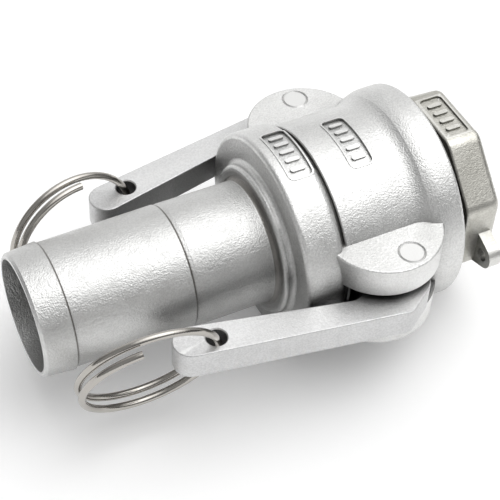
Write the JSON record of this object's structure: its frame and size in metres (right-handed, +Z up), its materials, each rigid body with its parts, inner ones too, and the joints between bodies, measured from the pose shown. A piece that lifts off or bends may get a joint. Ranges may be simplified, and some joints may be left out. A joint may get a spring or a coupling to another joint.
{
  "type": "camlock coupling",
  "caption": "Cam-and-groove coupling: a hose-shank coupler with two hinged cam arms and finger rings, locked on a grooved adapter with female pipe thread.",
  "frame": {"origin": "centre of the bore at the hose-end face", "axes": "+X along the flow from the hose end to the threaded end, +Z up along the hinge pins, -Y towards the front arm"},
  "size_m": [0.127, 0.0842, 0.0606],
  "materials": {
    "cast_body": "bead-blasted investment-cast stainless steel, matte with fine orange-peel grain",
    "cast_adapter": "bead-blasted investment-cast stainless steel, slightly warmer",
    "cast_arm": "fine-blasted cast stainless steel, flat light grey",
    "pin_steel": "ground stainless pin",
    "ring_steel": "polished stainless spring wire",
    "gasket_rubber": "matte black nitrile rubber"
  },
  "bodies": {
    "coupler": {"coupler_body": "cast_body", "gasket": "gasket_rubber", "hinge_pin_front": "pin_steel", "hinge_pin_rear": "pin_steel"},
    "adapter": {"adapter": "cast_adapter"},
    "front_arm": {"cam_arm_front": "cast_arm"},
    "rear_arm": {"cam_arm_rear": "cast_arm"},
    "front_ring": {"finger_ring_front": "ring_steel"},
    "rear_ring": {"finger_ring_rear": "ring_steel"}
  },
  "joints": [
    {"name": "front_arm_hinge", "type": "hinge", "parent": "coupler", "child": "front_arm", "pos_m": [0.0936, -0.0322, 0], "axis": [0, 0, 1], "range_deg": [0, 110]},
    {"name": "rear_arm_hinge", "type": "hinge", "parent": "coupler", "child": "rear_arm", "pos_m": [0.0936, 0.0322, 0], "axis": [0, 0, -1], "range_deg": [0, 110]},
    {"name": "front_ring_swivel", "type": "hinge", "parent": "front_arm", "child": "front_ring", "pos_m": [0.0405, -0.029, 0], "axis": [0, 0, 1], "range_deg": [-8, 130]},
    {"name": "rear_ring_swivel", "type": "hinge", "parent": "rear_arm", "child": "rear_ring", "pos_m": [0.0405, 0.029, 0], "axis": [0, 0, -1], "range_deg": [0, 130]},
    {"name": "adapter_swivel", "type": "hinge", "parent": "coupler", "child": "adapter", "pos_m": [0.1, 0, 0], "axis": [1, 0, 0], "continuous": true}
  ]
}
